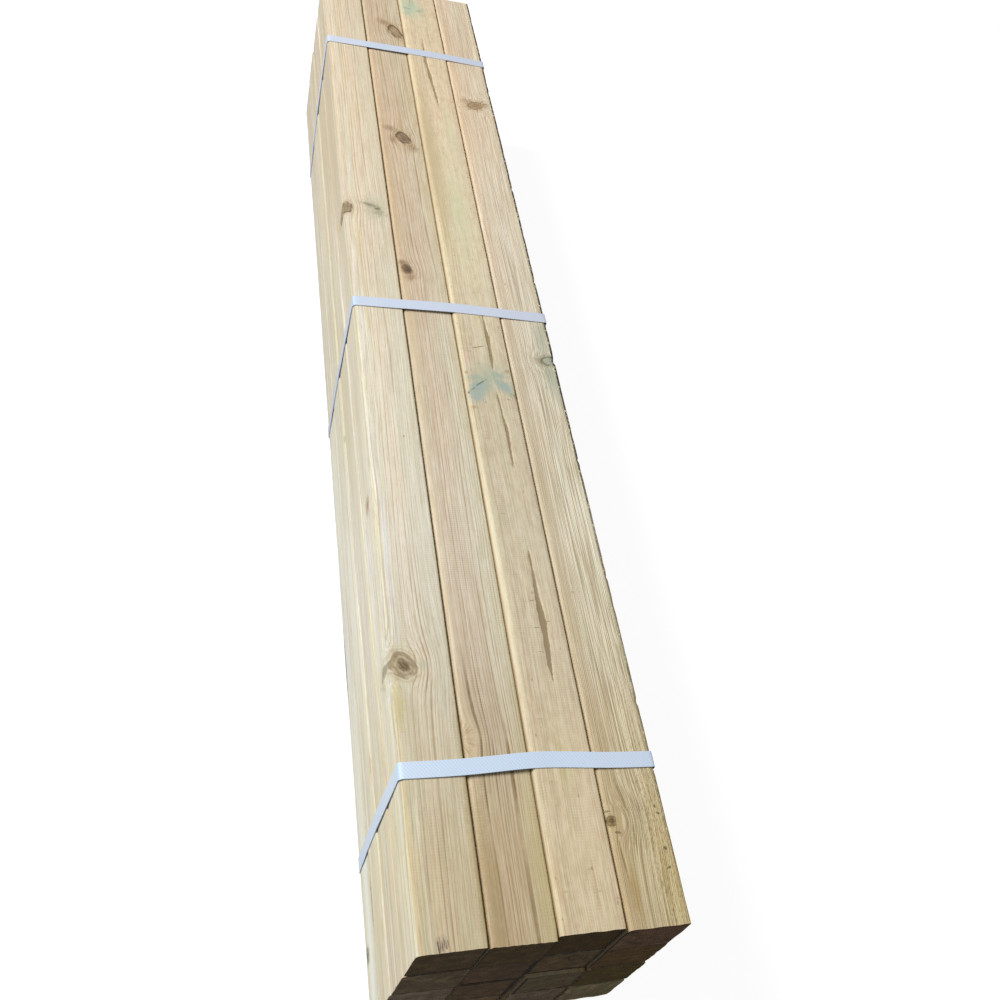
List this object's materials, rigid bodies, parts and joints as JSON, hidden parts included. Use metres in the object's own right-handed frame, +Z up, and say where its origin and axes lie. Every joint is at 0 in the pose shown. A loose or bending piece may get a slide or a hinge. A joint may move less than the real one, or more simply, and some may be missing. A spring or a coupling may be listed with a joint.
{
  "type": "strapped bundle of pine studs",
  "caption": "Long square pine studs stacked in flush layers and held as one block by tight flat straps round the whole bundle.",
  "frame": {"origin": "middle of the base, on the surface that the bundle lies on", "axes": "+Y along the studs, from the end that is nearer in the picture to the further one; +X to the right as seen from the nearer end; +Z up"},
  "size_m": [0.2994, 1.804, 0.3041],
  "materials": {
    "stud": "planed or fine-sawn bare softwood, pressure-treated, faintly green",
    "strap": "embossed white polypropylene strapping"
  },
  "bodies": {
    "root": {"stud_layer1_1": "stud", "stud_layer1_2": "stud", "stud_layer1_3": "stud", "stud_layer1_4": "stud", "stud_layer2_1": "stud", "stud_layer2_2": "stud", "stud_layer2_3": "stud", "stud_layer2_4": "stud", "stud_layer3_1": "stud", "stud_layer3_2": "stud", "stud_layer3_3": "stud", "stud_layer3_4": "stud", "stud_layer4_1": "stud", "stud_layer4_2": "stud", "stud_layer4_3": "stud", "stud_layer4_4": "stud", "strap_near": "strap", "strap_middle": "strap", "strap_far": "strap"}
  },
  "joints": []
}
